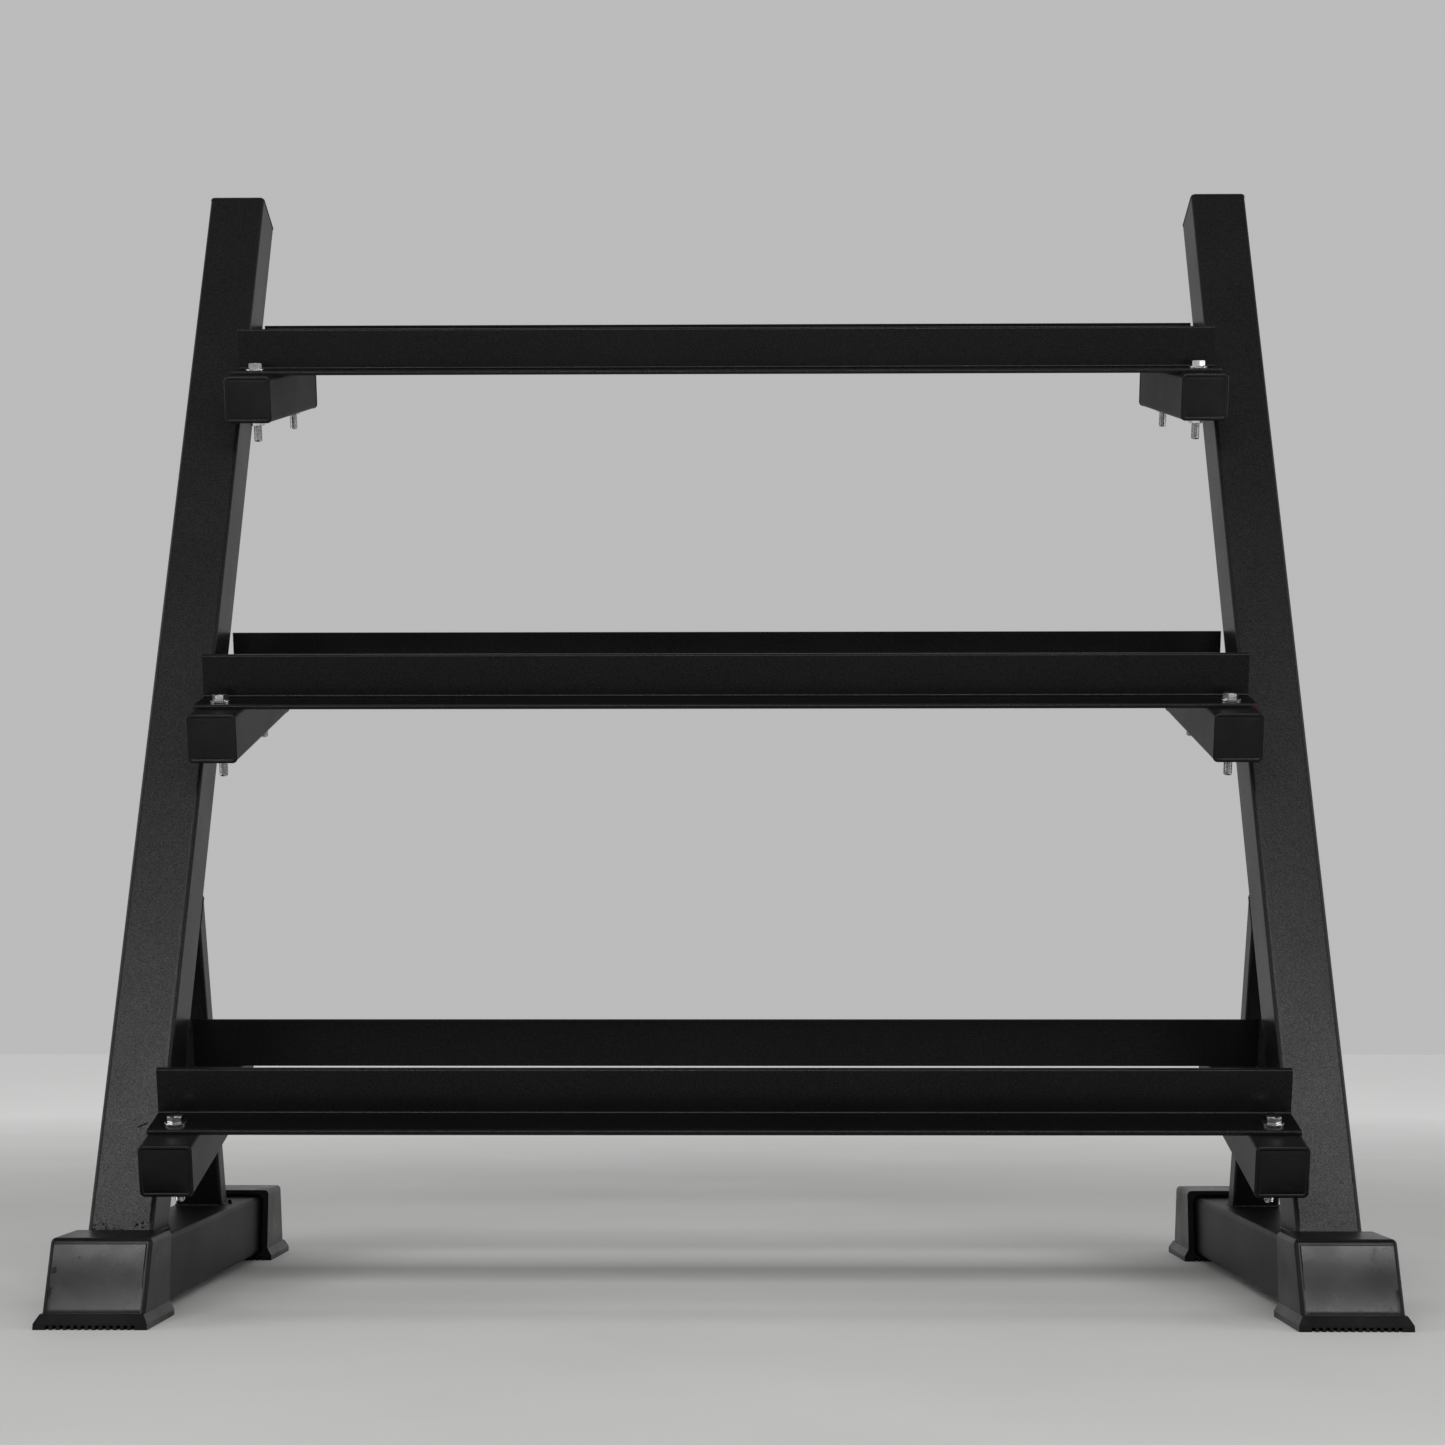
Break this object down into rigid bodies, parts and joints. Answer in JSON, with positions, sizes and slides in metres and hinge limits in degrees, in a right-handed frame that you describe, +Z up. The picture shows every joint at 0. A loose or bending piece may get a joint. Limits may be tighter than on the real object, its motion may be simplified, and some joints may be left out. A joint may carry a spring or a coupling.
{
  "type": "dumbbell rack",
  "caption": "Free-standing steel storage rack for dumbbells: leaning side frames on booted feet carry tilted tiers of paired angle rails bolted to square arms.",
  "frame": {"origin": "on the floor at the centre of the footprint, midway between the two side frames", "axes": "+X along the rails to the right as seen from the front, +Y towards the back, +Z up; the tiers tip down towards -Y"},
  "size_m": [1.2496, 0.6436, 1.2495],
  "materials": {
    "powder_coat": "satin black powder coat with a fine orange-peel texture",
    "rail_coat": "satin black powder coat, lightly rubbed along the edges",
    "zinc": "bright zinc plate",
    "boot_plastic": "semi-gloss moulded black plastic",
    "cap_plastic": "fine-grained black plastic"
  },
  "bodies": {
    "root": {"base_tube_left": "powder_coat", "upright_left": "powder_coat", "upright_cap_left": "cap_plastic", "rear_brace_left": "powder_coat", "boot_front_left": "boot_plastic", "boot_rear_left": "boot_plastic", "base_tube_right": "powder_coat", "upright_right": "powder_coat", "upright_cap_right": "cap_plastic", "rear_brace_right": "powder_coat", "boot_front_right": "boot_plastic", "boot_rear_right": "boot_plastic", "arm_low_left": "powder_coat", "arm_cap_front_low_left": "cap_plastic", "arm_cap_rear_low_left": "cap_plastic", "arm_low_right": "powder_coat", "arm_cap_front_low_right": "cap_plastic", "arm_cap_rear_low_right": "cap_plastic", "rail_front_low": "rail_coat", "rail_rear_low": "rail_coat", "bolts_low": "zinc", "washers_low": "zinc", "nuts_low": "zinc", "arm_mid_left": "powder_coat", "arm_cap_front_mid_left": "cap_plastic", "arm_cap_rear_mid_left": "cap_plastic", "arm_mid_right": "powder_coat", "arm_cap_front_mid_right": "cap_plastic", "arm_cap_rear_mid_right": "cap_plastic", "rail_front_mid": "rail_coat", "rail_rear_mid": "rail_coat", "bolts_mid": "zinc", "washers_mid": "zinc", "nuts_mid": "zinc", "arm_top_left": "powder_coat", "arm_cap_front_top_left": "cap_plastic", "arm_cap_rear_top_left": "cap_plastic", "arm_top_right": "powder_coat", "arm_cap_front_top_right": "cap_plastic", "arm_cap_rear_top_right": "cap_plastic", "rail_front_top": "rail_coat", "rail_rear_top": "rail_coat", "bolts_top": "zinc", "washers_top": "zinc", "nuts_top": "zinc"}
  },
  "joints": []
}
